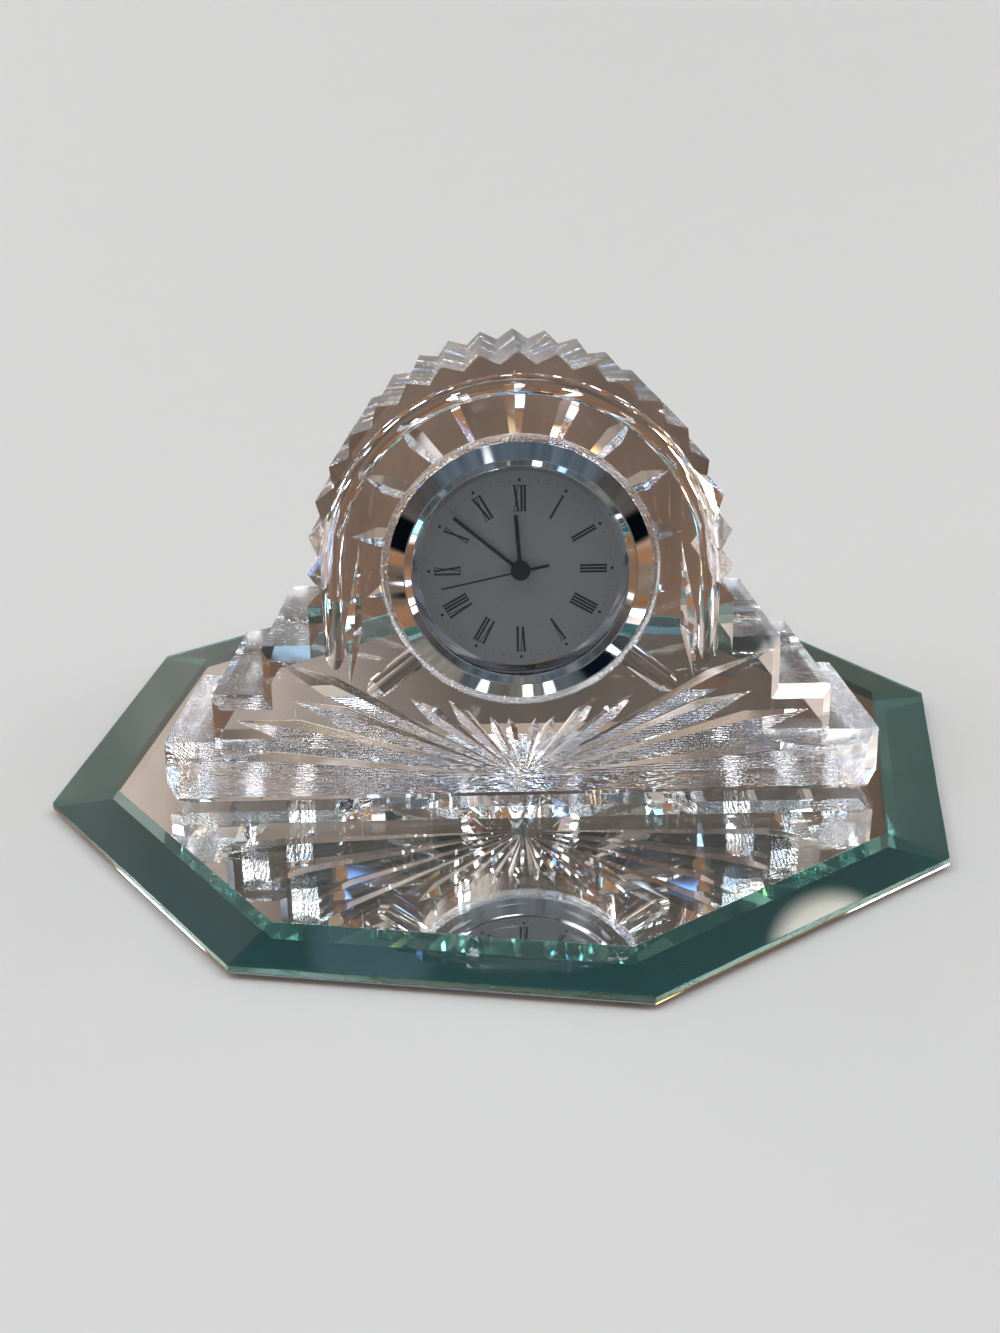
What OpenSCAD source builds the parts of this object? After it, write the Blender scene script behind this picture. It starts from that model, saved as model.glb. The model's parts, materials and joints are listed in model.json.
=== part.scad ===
// Cut crystal desk clock with a round quartz insert, standing on a bevelled mirror plinth.
// The block leans back on its foot. The insert pulls out of the block's blind bore to the front.

/* [Crystal block] */
// Full width of the lowest step
body_w = 142.6; // [126:0.2:156]
// Thickness of the block from front to back
body_d = 45; // [36:1:56]
// How far each side closes in from the front to the back
body_draft = 2.4; // [0:0.1:3]
// Lean of the block, in degrees
lean = 5; // [0:0.5:9]
// Height of the lowest step, along the face
step_h = 12.8; // [10.4:0.2:15.4]
// Rise from each step to the next
step_rise = 9.9; // [8:0.1:11.9]
// How far each step stands in from the one below it
step_run = 10.3; // [8.4:0.1:11]
// Polished bevel on the front and back edges of the steps
step_bevel = 2.4; // [0.8:0.1:2.8]
// Bevel on the upright front corners of the upper steps
riser_bevel = 1.8; // [0.8:0.1:2.6]
// Bevel on the upright corners of the lowest step, and of every step at the back
corner_bevel = 3; // [1.5:0.5:4]
// Bevel along the front and back of the foot
foot_bevel = 1.9; // [1:0.1:2.6]
// Bevel on the ends of the foot
foot_end_bevel = 3.5; // [1:0.5:5]
// Radius of the round top, at the roots of its teeth
dome_r = 38.5; // [34:0.1:44]
// Height of the saw teeth round the top
tooth_h = 2.25; // [1.2:0.05:3.2]
// Number of teeth on each side of the top one
side_teeth = 9; // [7:1:9]
// Angle from tooth to tooth, in degrees
tooth_pitch = 10.15; // [8.8:0.05:10.2]
// Height of the centre of the round top, along the face
dome_h = 48.6; // [44:0.2:56]
// Height of the dial's centre, along the face
dial_h = 47.2; // [44:0.2:56]

/* [Cut decoration] */
// Middle radius of the hollow cut that arches over the dial
arch_r = 36.2; // [31:0.2:37]
// Width of the arched cut
arch_width = 3.8; // [2:0.1:4.2]
// Depth of the arched cut
arch_depth = 1.1; // [0.6:0.1:1.4]
// Length of the straight legs of the arched cut
arch_leg = 19; // [10:0.5:22]
// Width of the upright leaf cut inside each leg
leaf_width = 3.4; // [2:0.1:3.6]
// Length of the upright leaf cuts
leaf_len = 28.5; // [20:0.5:30]
// Width of the two short bars cut below the dial
bar_width = 4.6; // [2:0.1:5]
// Depth of the short bars
bar_depth = 1.1; // [0.6:0.1:1.4]
// Height of the centre of the fan of cuts, along the face
fan_h = 4.9; // [4:0.1:8]
// Depth of the long cuts of the fan
fan_depth = 1.5; // [0.8:0.1:1.8]
// Width of the long cuts of the fan
fan_width = 4.6; // [2:0.1:5]
// Share of a fan or star cut's length that it takes to reach its full depth
cut_peak = 0.78; // [0.5:0.02:0.86]
// Number of cuts in the star on the back
star_cuts = 16; // [8:1:20]
// Length of each cut of the star
star_len = 24; // [16:1:28]
// Width of each cut of the star
star_width = 4.2; // [2:0.1:4.6]

/* [Mirror plinth] */
// Width of the eight-sided mirror across its flats
plinth_af = 177.8; // [172:0.2:220]
// Thickness of the mirror glass
glass_t = 3.2; // [3:0.1:6]
// Thickness left at the outer edge of the glass
edge_t = 1.3; // [0.8:0.1:2.4]
// Width of the bevel round the glass
rim_bevel_w = 11.5; // [8:0.5:14]
// Turn of the plinth under the clock, in degrees
plinth_turn = -9.5; // [-20:0.5:20]
// Distance of the clock's front edge from the middle of the plinth
stand_front = 28.1; // [20:0.1:34]
// Distance of the clock to the right of the middle of the plinth
stand_right = 1.7; // [-6:0.1:6]
// Thickness of the silvering and its backing paint
silver_t = 0.3; // [0.2:0.1:0.6]
// Thickness of the felt under the mirror
felt_t = 1.2; // [0.8:0.1:3]
// How far the felt stands in from the edge of the mirror
felt_inset = 1.5; // [0.5:0.5:6]

/* [Insert] */
// Outside diameter of the bezel
bezel_d = 50.8; // [50:0.1:53]
// Radius of the bore in the block
bore_r = 24; // [23.9:0.05:24.6]
// Depth of the bore in the block
bore_depth = 22; // [20.5:0.5:26]
// Depth of the ground seat that the bezel sinks into
seat_depth = 3.2; // [2.9:0.1:3.6]
// How far the ground seat shows round the bezel
seat_margin = 1.2; // [0.3:0.1:1.4]
// Length of the case cup behind the seat
cup_len = 14; // [14:0.2:15.4]
// Height of the bezel's crest in front of the face
bezel_crest = 1.2; // [0.8:0.1:2]
// Radius of the bezel's crest
crest_r = 22.9; // [22.4:0.1:23.6]
// Radius of the opening in the bezel's lip
lip_r = 20.7; // [20.2:0.1:21]
// Thickness of the lens
lens_t = 0.9; // [0.7:0.1:0.9]
// Thickness of the dial plate
dial_t = 0.4; // [0.3:0.1:0.5]

/* [Hands] */
// Length of the hour hand from the centre
hour_len = 10.9; // [9:0.1:12]
// Length of the minute hand from the centre
minute_len = 16.5; // [14:0.1:17.5]
// Length of the second hand from the centre
second_len = 15.6; // [13:0.1:17.5]
// Length of the second hand's tail
second_tail = 5.6; // [3:0.1:7]
// Radius of the cap over the centre
cap_r = 1.8; // [1.3:0.1:2.2]
// Hour shown
time_hour = 11; // [0:1:11]
// Minute shown
time_minute = 51; // [0:1:59]
// Second shown
time_second = 43; // [0:1:59]

/* [Movement] */
// Distance from the dial's centre to the third wheel and to the fifth wheel
train_reach = 7.2; // [7:0.1:7.6]
// Distance from the dial's centre to the minute wheel
motion_reach = 6.4; // [6.2:0.1:6.8]
// Diameter of the button cell
cell_d = 11.6; // [9.5:0.1:11.6]
// Thickness of the button cell
cell_t = 3.05; // [2.1:0.05:3.1]
// Radius of the setting knob
knob_r = 3.2; // [2.6:0.1:4]

/* [Hidden] */
$fn = 72;

// Clearances
slack = 0.05;
running = 0.05;
gasket_gap = 0.08;
cut_over = 2;
section_tall = 12;

// Plinth heights
silver_z = felt_t;
glass_z = felt_t + silver_t;
plinth_h = glass_z + glass_t;
rim_angle = atan((glass_t - edge_t) / rim_bevel_w);

// Block outline, in the plane of the face
half_w = body_w / 2;
draft_angle = atan(body_draft / body_d);
base_drop = body_d * sin(lean) + 2;
pillar_w = dome_r + tooth_h + 0.2;
tooth_count = 2 * side_teeth + 1;
first_root = 90 - tooth_pitch * (side_teeth + 0.5);
root_x = dome_r * cos(first_root);
root_y = dome_h + dome_r * sin(first_root);
pillar_top = root_y - (pillar_w - root_x);

// Leaf and bar cuts: where they start from the dial's centre, and the share of a hollow cut that runs out
leaf_steepness = 0.4;
leaf_top = [30.6, 6];
leaf_drift = 6;
leaf_peak = 0.62;
bar_angle = 39;
bar_start = 25.5;
bar_len = 13;
run_out = 0.16;
hollow_facets = 4;

// Fan cuts: angle above level, length, and share of the full width and depth
fan_cuts = [
    [4.2, 63, 1.3], [13.2, 58, 1.25], [21, 48, 1], [28, 54, 1],
    [38, 28, 0.7], [49, 22, 0.65], [64, 14.5, 0.5], [78, 13, 0.5]
];
fan_start = 1.4;
star_start = 10;

// Insert, as depths behind the plane of the face
bezel_r = bezel_d / 2;
seat_r = bezel_r + seat_margin;
cup_front = seat_depth;
cup_back = cup_front + cup_len;
cup_r = bore_r - 1;
cup_wall = 0.8;
cup_in = cup_r - cup_wall;
cavity_r = cup_in - 0.2;
lens_front = -0.3;
lens_back = lens_front + lens_t;
lens_r = lip_r + 0.6;
dial_front = 2.4;
dial_back = dial_front + dial_t;
dial_r = cup_in - 0.25;
dial_show_r = lip_r - 1.3;
gasket_wall = bore_r - cup_r - gasket_gap;

// Movement, as depths behind the plane of the face
hour_front = dial_back + 0.4;
hour_back = hour_front + 0.6;
minute_front = hour_back + 0.4;
minute_back = minute_front + 0.6;
plate_front = minute_back + 0.5;
plate_back = plate_front + 1;
centre_front = plate_back + 0.4;
third_front = centre_front + 1;
fourth_front = third_front + 1.1;
fifth_front = fourth_front + 1.1;
wheel_t = 0.5;
bridge_front = fifth_front + 1.4;
bridge_back = bridge_front + 1;
cell_front = bridge_back + 0.2;
cell_back = cell_front + cell_t;
cover_front = cup_back - 1;
knob_front = cup_back + 0.2;
knob_back = knob_front + 1.8;
plate_r = cup_in - 3;
ring_in = plate_r + 0.1;

// Hand levels and the tubes they ride on
hour_hand_front = 1.75;
minute_hand_front = 1.3;
second_hand_front = 0.85;
hand_t = 0.2;
arbor_r = 0.25;
centre_tube_r = 0.6;
cannon_r = 1;
hour_tube_r = 1.5;
pivot_r = 0.22;
setting_r = 0.7;
screw_r = 0.4;

// Wheel train: teeth, and modules from the shared centre distances
rotor_z = 8;
fifth_z = 48;
fifth_pinion_z = 12;
fourth_z = 60;
fourth_pinion_z = 8;
third_z = 60;
third_pinion_z = 8;
centre_z = 64;
cannon_z = 12;
minute_z = 36;
minute_pinion_z = 10;
hour_z = 40;
setting_z = 12;
fourth_m = 2 * train_reach / (fourth_z + fifth_pinion_z);
third_m = 2 * train_reach / (third_z + fourth_pinion_z);
centre_m = 2 * train_reach / (centre_z + third_pinion_z);
rotor_m = 0.2;
rotor_reach = rotor_m * (fifth_z + rotor_z) / 2;
minute_m = 2 * motion_reach / (minute_z + cannon_z);
hour_m = 2 * motion_reach / (hour_z + minute_pinion_z);
setting_reach = minute_m * (minute_z + setting_z) / 2;

// Places of the arbors about the dial's centre
third_a = 160;
fifth_a = 30;
rotor_a = -60;
minute_a = -90;
setting_a = -30;
third_at = polar(train_reach, third_a);
fifth_at = polar(train_reach, fifth_a);
rotor_at = fifth_at + polar(rotor_reach, rotor_a);
minute_at = polar(motion_reach, minute_a);
setting_at = minute_at + polar(setting_reach, setting_a);
cell_at = [-6.5, -7.5];
coil_at = [14.5, 0];
coil_half = 6;
coil_r = 1.8;
lug_angles = [95, 212, 304];
lug_r = 17.9;
holder_r = cell_d / 2 + 0.9;
hatch_r = cell_d / 2 + 0.6;

// Angles of the hands, clockwise from twelve
minute_turn = 6 * (time_minute + time_second / 60);
hour_turn = 30 * time_hour + minute_turn / 12;
second_turn = 6 * time_second;

// Colours
crystal_c = [0.90, 0.94, 0.96, 0.35];
steel_c = [0.78, 0.79, 0.80];
dark_steel_c = [0.45, 0.46, 0.48];
brass_c = [0.80, 0.65, 0.32];
black_c = [0.06, 0.06, 0.07];
white_c = [0.88, 0.88, 0.85];

function polar(r, a) = [r * cos(a), r * sin(a)];

// Tooth outline of a wheel, four points a tooth, with a tooth centred on the angle "phase"
function wheel_points(z, m, phase) = [
    for (i = [0 : z - 1], c = [[-0.28, -1.15], [-0.12, 0.8], [0.12, 0.8], [0.28, -1.15]])
        polar(m * (z / 2 + c[1]), phase + (i + c[0]) * 360 / z)
];

// Phase that sets a gap of a follower against the tooth of its driver on the line of centres
function gap_phase(line_a, z) = line_a + 180 + 180 / z;

// Frames: the clock's foot on the glass, the leaning face, and the dial's centre on the face.
// In the last two, x runs right, y up the face and z out of it.
module clock_frame() {
    translate([stand_right, -stand_front, plinth_h])
        children();
}

module face_frame() {
    clock_frame()
        rotate([90 - lean, 0, 0])
            children();
}

module dial_frame() {
    face_frame()
        translate([0, dial_h, 0])
            children();
}

// Extrudes a flat shape between two depths behind the face
module slab(front, back) {
    translate([0, 0, -back])
        linear_extrude(height = back - front)
            children();
}

module at(place) {
    translate([place[0], place[1], 0])
        children();
}

module ring_shape(outer, inner) {
    difference() {
        circle(outer);
        circle(inner);
    }
}

module wheel_shape(z, m, phase) {
    polygon(wheel_points(z, m, phase));
}

// Mirror plinth
module octagon(across) {
    rotate(22.5)
        circle(r = across / 2 / cos(22.5), $fn = 8);
}

module mirror_glass() {
    color([0.55, 0.75, 0.68, 0.6])
        rotate([0, 0, plinth_turn])
            translate([0, 0, glass_z])
                difference() {
                    linear_extrude(height = glass_t)
                        octagon(plinth_af);
                    for (side = [0 : 7])
                        rotate([0, 0, 45 * side])
                            translate([plinth_af / 2, 0, edge_t])
                                rotate([0, rim_angle, 0])
                                    translate([-2 * rim_bevel_w, -plinth_af / 2, 0])
                                        cube([3 * rim_bevel_w, plinth_af, 2 * glass_t]);
                }
}

module silver_coat() {
    color([0.80, 0.82, 0.84])
        rotate([0, 0, plinth_turn])
            translate([0, 0, silver_z])
                linear_extrude(height = silver_t)
                    octagon(plinth_af);
}

module felt_backing() {
    color([0.08, 0.20, 0.14])
        rotate([0, 0, plinth_turn])
            linear_extrude(height = felt_t)
                octagon(plinth_af - 2 * felt_inset);
}

// Square bar that takes an edge off by "leg" on both faces, along x or along y
module edge_bar_x(length, leg) {
    rotate([45, 0, 0])
        cube([length, leg * sqrt(2), leg * sqrt(2)], center = true);
}

module edge_bar_y(length, leg) {
    rotate([0, 45, 0])
        cube([leg * sqrt(2), length, leg * sqrt(2)], center = true);
}

// One step of the block, from the foot up, with mitred front and back bevels and drafted sides
module step_block(half, height, front_bevel) {
    tall = 3 * height + 4 * base_drop;
    difference() {
        translate([-half, -base_drop, -body_d])
            cube([2 * half, base_drop + height, body_d]);
        for (face_z = [0, -body_d])
            translate([0, height, face_z])
                edge_bar_x(2 * half + cut_over, step_bevel);
        for (side = [0, 1])
            mirror([side, 0, 0]) {
                translate([half, -tall / 2, 0])
                    rotate([0, draft_angle, 0])
                        translate([0, 0, -1.5 * body_d])
                            cube([body_d, 2 * tall, 2 * body_d]);
                translate([half, height / 2, 0])
                    edge_bar_y(tall, front_bevel);
                translate([half - body_draft, height / 2, -body_d])
                    edge_bar_y(tall, corner_bevel);
            }
    }
}

// Round top: saw teeth run from front to back, down to a plain pillar at each side
module dome_block() {
    outline = concat(
        [[pillar_w, 0], [pillar_w, pillar_top]],
        [for (i = [0 : 2 * tooth_count])
            polar(dome_r + (i % 2) * tooth_h, first_root + i * tooth_pitch / 2) + [0, dome_h]],
        [[-pillar_w, pillar_top], [-pillar_w, 0]]
    );
    translate([0, dome_h, 0])
        mirror([0, 0, 1])
            linear_extrude(height = body_d, scale = 1 - body_draft / (dome_r + tooth_h))
                translate([0, -dome_h])
                    polygon(outline);
}

// Leaf-shaped mitre cut along +x from the origin: one V bar sinks slowly to the full depth, and
// another rises from there to the far end
module mitre_cut(length, width, depth, peak) {
    intersection() {
        rotate([0, atan(depth / (peak * length)), 0])
            section_bar(length)
                v_shape(width / depth);
        rising_bar(length, atan(depth / ((1 - peak) * length)))
            v_shape(width / depth);
    }
}

// Hollow cut along +x at full depth from the origin, run out at its far end
module hollow_cut(length, width, depth) {
    intersection() {
        translate([0, 0, -depth])
            rotate([90, 0, 90])
                linear_extrude(height = 2 * length)
                    hollow_shape(width, depth);
        rising_bar(length, atan(depth / (run_out * length)))
            hollow_shape(width, depth);
    }
}

// A section swept along +x, level or rising to the surface at "length"
module section_bar(length) {
    translate([-length / 2, 0, 0])
        rotate([90, 0, 90])
            linear_extrude(height = 2 * length)
                children();
}

module rising_bar(length, rise) {
    translate([length, 0, 0])
        rotate([0, -rise, 0])
            translate([-length, 0, 0])
                section_bar(length)
                    children();
}

// Sections of the cuts, with their deepest point at the origin, tall enough for the steepest one
module v_shape(spread) {
    polygon([[0, 0], [section_tall * spread / 2, section_tall], [-section_tall * spread / 2, section_tall]]);
}

module hollow_shape(width, depth) {
    r = (width * width / 4 + depth * depth) / (2 * depth);
    half_a = asin(width / 2 / r);
    polygon(concat(
        [[-width / 2, section_tall]],
        [for (i = [-hollow_facets : hollow_facets])
            [r * sin(half_a * i / hollow_facets), r - r * cos(half_a * i / hollow_facets)]],
        [[width / 2, section_tall]]
    ));
}

module fan() {
    translate([0, fan_h, 0])
        for (side = [0, 1], cut = fan_cuts)
            mirror([side, 0, 0])
                rotate([0, 0, cut[0]])
                    translate([fan_start, 0, 0])
                        mitre_cut(cut[1] - fan_start, cut[2] * fan_width, cut[2] * fan_depth, cut_peak);
}

module back_star() {
    translate([0, dial_h, -body_d])
        for (i = [0 : star_cuts - 1])
            rotate([0, 180, 360 * i / star_cuts])
                translate([star_start, 0, 0])
                    mitre_cut(star_len, star_width, fan_depth, cut_peak);
}

// Arched hollow cut over the dial, with straight legs
module arch_cut() {
    rotate_extrude(angle = 180)
        translate([arch_r, -arch_depth])
            hollow_shape(arch_width, arch_depth);
    for (side = [-1, 1])
        translate([side * arch_r, 0, 0])
            rotate([0, 0, -90])
                hollow_cut(arch_leg, arch_width, arch_depth);
}

// Upright leaves inside the legs, and the two short bars below the dial
module side_cuts() {
    for (side = [0, 1])
        mirror([side, 0, 0]) {
            translate(leaf_top)
                rotate([0, 0, -90 + leaf_drift])
                    mitre_cut(leaf_len, leaf_width, leaf_steepness * leaf_width, leaf_peak);
            rotate([0, 0, -bar_angle])
                translate([bar_start, 0, 0])
                    hollow_cut(bar_len, bar_width, bar_depth);
        }
}

module foot_cut() {
    back_y = body_d / cos(lean);
    translate([-body_w, -body_w, -body_w])
        cube([2 * body_w, 3 * body_w, body_w]);
    for (y = [0, back_y])
        translate([0, y, 0])
            edge_bar_x(body_w + cut_over, foot_bevel);
    for (side = [-1, 1])
        translate([side * half_w, 0, 0])
            rotate([0, 0, side * draft_angle])
                edge_bar_y(4 * body_d, foot_end_bevel);
}

module crystal_body() {
    color(crystal_c)
        difference() {
            face_frame() {
                step_block(half_w, step_h, corner_bevel);
                step_block(half_w - step_run, step_h + step_rise, riser_bevel);
                step_block(half_w - 2 * step_run, step_h + 2 * step_rise, riser_bevel);
                dome_block();
            }
            clock_frame()
                foot_cut();
            dial_frame() {
                slab(-cut_over, seat_depth)
                    circle(seat_r);
                slab(0, bore_depth)
                    circle(bore_r);
            }
            dial_frame() {
                arch_cut();
                side_cuts();
            }
            face_frame() {
                fan();
                back_star();
            }
        }
}

// Insert shell
module bezel() {
    color(steel_c)
        dial_frame()
            rotate_extrude()
                polygon([
                    [cavity_r, -seat_depth],
                    [bezel_r, -seat_depth],
                    [bezel_r, 1 - seat_depth],
                    [bezel_r - 0.4, 1.5 - seat_depth],
                    [crest_r + 0.3, bezel_crest - 0.15],
                    [crest_r, bezel_crest],
                    [crest_r - 0.3, bezel_crest - 0.05],
                    [lip_r + 0.2, -lens_front + 0.2],
                    [lip_r, -lens_front + 0.1],
                    [lip_r, -lens_front],
                    [cavity_r, -lens_front]
                ]);
}

module lens() {
    color([0.85, 0.90, 0.92, 0.3])
        dial_frame()
            slab(lens_front, lens_back)
                circle(lens_r);
}

module lens_gasket() {
    color(black_c)
        dial_frame()
            slab(lens_front, lens_back)
                ring_shape(cavity_r, lens_r);
}

module dial_ring() {
    color(steel_c)
        dial_frame()
            rotate_extrude()
                polygon([
                    [dial_show_r, -dial_front],
                    [dial_r, -dial_front],
                    [dial_r, -lens_back],
                    [lip_r, -lens_back]
                ]);
}

module dial() {
    color([0.72, 0.73, 0.74])
        dial_frame()
            difference() {
                slab(dial_front, dial_back)
                    circle(dial_r);
                slab(dial_front - 1, dial_back + 1)
                    circle(hour_tube_r + 0.3);
            }
}

module case_cup() {
    color(steel_c)
        dial_frame()
            slab(cup_front, cup_back)
                ring_shape(cup_r, cup_in);
}

// Ribbed rubber sleeve that grips the bore
module seat_gasket() {
    ribs = 4;
    pitch = 2.2;
    root = cup_r + gasket_wall * 0.45;
    tip = cup_r + gasket_wall;
    color(black_c)
        dial_frame()
            translate([0, 0, -cup_front - 0.8])
                rotate_extrude()
                    polygon(concat(
                        [[cup_r, -ribs * pitch], [cup_r, 0]],
                        [for (i = [0 : ribs - 1], p = [[root, 0.1], [tip, 0.8], [tip, 1.3], [root, 2]])
                            [p[0], -i * pitch - p[1]]],
                        [[root, -ribs * pitch]]
                    ));
}

// Movement carriers
module movement_ring() {
    color(white_c)
        dial_frame() {
            slab(dial_back, cover_front)
                ring_shape(dial_r, ring_in);
            slab(plate_back, bridge_front)
                difference() {
                    for (a = lug_angles)
                        intersection() {
                            ring_shape(ring_in + 0.5, lug_r - 1.6);
                            rotate(a)
                                translate([0, -2])
                                    square([dial_r, 4]);
                        }
                    screw_holes();
                }
        }
}

module arbor_holes() {
    for (place = [third_at, fifth_at, rotor_at])
        at(place)
            circle(pivot_r + running);
}

module screw_holes() {
    for (a = lug_angles)
        at(polar(lug_r, a))
            circle(screw_r + slack);
}

module main_plate() {
    color(brass_c)
        dial_frame()
            slab(plate_front, plate_back)
                difference() {
                    circle(plate_r);
                    circle(centre_tube_r + running);
                    arbor_holes();
                    at(minute_at)
                        circle(pivot_r + running);
                    at(setting_at)
                        circle(setting_r + running);
                    screw_holes();
                }
}

module train_bridge() {
    color(steel_c)
        dial_frame()
            slab(bridge_front, bridge_back)
                difference() {
                    circle(plate_r);
                    circle(arbor_r + running);
                    arbor_holes();
                    at(setting_at)
                        circle(setting_r + running);
                    screw_holes();
                    at([3, 10.5])
                        circle(2.6);
                    at([-12.5, 4])
                        circle(2.4);
                }
}

// Stepping motor
module stator() {
    front = fourth_front - 1;
    near_x = coil_at[0] - coil_r - 0.3;
    far_x = coil_at[0] + 1.6;
    low_y = coil_half + 0.4;
    high_y = coil_half + 3.1;
    color(dark_steel_c)
        dial_frame()
            difference() {
                union() {
                    slab(front, front + 0.8)
                        at(rotor_at)
                            circle(3.1);
                    for (s = [-1, 1])
                        slab(front, front + 0.8)
                            polygon([
                                rotor_at + [0, s * 2.5],
                                [near_x - 1, s * high_y],
                                [far_x, s * high_y],
                                [far_x, s * low_y],
                                [near_x, s * low_y],
                                rotor_at + [2.6, s * 0.6]
                            ]);
                }
                slab(front - 1, front + 2)
                    at(rotor_at)
                        circle(1.8);
            }
}

module coil_core() {
    front = fourth_front - 0.2;
    end_y = coil_half + 1.6;
    color(dark_steel_c)
        dial_frame()
            slab(front, front + 0.6)
                at(coil_at) {
                    square([1.2, 2 * end_y], center = true);
                    for (s = [-1, 1])
                        translate([0, s * end_y])
                            square([2.8, 2.4], center = true);
                }
}

module coil() {
    core_mid = fourth_front + 0.1;
    color([0.62, 0.30, 0.14])
        dial_frame()
            translate([coil_at[0], 0, -core_mid])
                difference() {
                    rotate([90, 0, 0]) {
                        cylinder(r = coil_r - 0.2, h = 2 * coil_half, center = true);
                        for (s = [-1, 1])
                            translate([0, 0, s * (coil_half - 0.25)])
                                cylinder(r = coil_r, h = 0.5, center = true);
                    }
                    cube([1.3, 2 * coil_half + 1, 0.7], center = true);
                }
}

module rotor() {
    magnet_front = fourth_front - 1.7;
    color(black_c)
        dial_frame()
            at(rotor_at) {
                slab(magnet_front, magnet_front + 2.2)
                    circle(1.5);
                slab(magnet_front, fifth_front + 0.7)
                    circle(0.35);
                slab(fifth_front - 0.1, fifth_front + wheel_t + 0.1)
                    wheel_shape(rotor_z, rotor_m, rotor_a + 180);
                slab(plate_front + 0.2, bridge_back - 0.2)
                    circle(pivot_r);
            }
}

// Wheel train
module fifth_wheel() {
    color(brass_c)
        dial_frame()
            at(fifth_at) {
                slab(fifth_front, fifth_front + wheel_t)
                    wheel_shape(fifth_z, rotor_m, gap_phase(rotor_a + 180, fifth_z));
                slab(fourth_front - 0.1, fifth_front)
                    wheel_shape(fifth_pinion_z, fourth_m, fifth_a + 180);
                slab(plate_front + 0.2, bridge_back - 0.2)
                    circle(pivot_r);
            }
}

module fourth_wheel() {
    color(brass_c)
        dial_frame() {
            slab(fourth_front, fourth_front + wheel_t)
                wheel_shape(fourth_z, fourth_m, gap_phase(fifth_a + 180, fourth_z));
            slab(third_front - 0.1, fourth_front)
                wheel_shape(fourth_pinion_z, third_m, third_a);
            slab(second_hand_front + hand_t, bridge_back - 0.2)
                circle(arbor_r);
        }
}

module third_wheel() {
    color(brass_c)
        dial_frame()
            at(third_at) {
                slab(third_front, third_front + wheel_t)
                    wheel_shape(third_z, third_m, gap_phase(third_a, third_z));
                slab(centre_front - 0.1, third_front)
                    wheel_shape(third_pinion_z, centre_m, third_a + 180);
                slab(plate_front + 0.2, bridge_back - 0.2)
                    circle(pivot_r);
            }
}

module centre_wheel() {
    color(brass_c)
        dial_frame()
            difference() {
                union() {
                    slab(centre_front, centre_front + wheel_t)
                        wheel_shape(centre_z, centre_m, gap_phase(third_a + 180, centre_z));
                    slab(minute_hand_front + 0.6, centre_front)
                        circle(centre_tube_r);
                }
                slab(0, centre_front + 1)
                    circle(arbor_r + running);
            }
}

// Motion work
module cannon_pinion() {
    color(brass_c)
        dial_frame()
            difference() {
                union() {
                    slab(minute_front - 0.1, minute_back + 0.1)
                        wheel_shape(cannon_z, minute_m, minute_a);
                    slab(minute_hand_front, minute_front)
                        circle(cannon_r);
                }
                slab(0, plate_front)
                    circle(centre_tube_r + running);
            }
}

module minute_wheel() {
    color(brass_c)
        dial_frame()
            at(minute_at) {
                slab(minute_front, minute_back)
                    wheel_shape(minute_z, minute_m, gap_phase(minute_a, minute_z));
                slab(hour_front - 0.1, minute_front)
                    wheel_shape(minute_pinion_z, hour_m, minute_a + 180);
                slab(minute_back, plate_back - 0.2)
                    circle(pivot_r);
            }
}

module hour_wheel() {
    color(brass_c)
        dial_frame()
            difference() {
                union() {
                    slab(hour_front, hour_back)
                        wheel_shape(hour_z, hour_m, gap_phase(minute_a + 180, hour_z));
                    slab(hour_hand_front, hour_front)
                        circle(hour_tube_r);
                }
                slab(0, hour_back + 1)
                    circle(cannon_r + running);
            }
}

// The minute wheel's tooth nearest the setting pinion decides that pinion's phase
module setting_knob() {
    wheel_pitch = 360 / minute_z;
    wheel_phase = gap_phase(minute_a, minute_z);
    off = (setting_a - wheel_phase) - wheel_pitch * round((setting_a - wheel_phase) / wheel_pitch);
    grips = 18;
    color(black_c)
        dial_frame()
            at(setting_at) {
                slab(minute_front - 0.05, minute_back + 0.05)
                    wheel_shape(setting_z, minute_m, gap_phase(setting_a, setting_z) + off * minute_z / setting_z);
                slab(minute_back, knob_front)
                    circle(setting_r);
                slab(knob_front, knob_back)
                    difference() {
                        circle(knob_r);
                        for (i = [0 : grips - 1])
                            at(polar(knob_r + 0.1, 360 * i / grips))
                                circle(0.28);
                    }
            }
}

// Hands
module hand_shape(length, tail, width, hub) {
    translate([-width / 2, -tail])
        square([width, length + tail]);
    circle(hub);
}

module hour_hand() {
    color(black_c)
        dial_frame()
            slab(hour_hand_front, hour_hand_front + hand_t)
                difference() {
                    rotate(-hour_turn)
                        hand_shape(hour_len, 0, 0.74, hour_tube_r + 0.4);
                    circle(hour_tube_r);
                }
}

module minute_hand() {
    color(black_c)
        dial_frame()
            slab(minute_hand_front, minute_hand_front + hand_t)
                difference() {
                    rotate(-minute_turn)
                        hand_shape(minute_len, 0, 0.66, cannon_r + 0.5);
                    circle(cannon_r);
                }
}

module second_hand() {
    color(black_c)
        dial_frame() {
            slab(second_hand_front, second_hand_front + hand_t)
                rotate(-second_turn) {
                    hand_shape(second_len, 0, 0.32, cap_r);
                    translate([-0.28, -second_tail])
                        square([0.56, second_tail]);
                }
        }
}

// Electronics and cell, behind the bridge
module circuit_board() {
    color([0.05, 0.30, 0.16])
        dial_frame()
            slab(bridge_back, bridge_back + 0.6)
                difference() {
                    intersection() {
                        circle(plate_r - 0.6);
                        translate([-12, 1])
                            square([26, 20]);
                    }
                    for (place = [fifth_at, polar(lug_r, lug_angles[0])])
                        at(place)
                            circle(1.3);
                    at([3, 10.5])
                        circle(2.6);
                }
}

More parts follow.
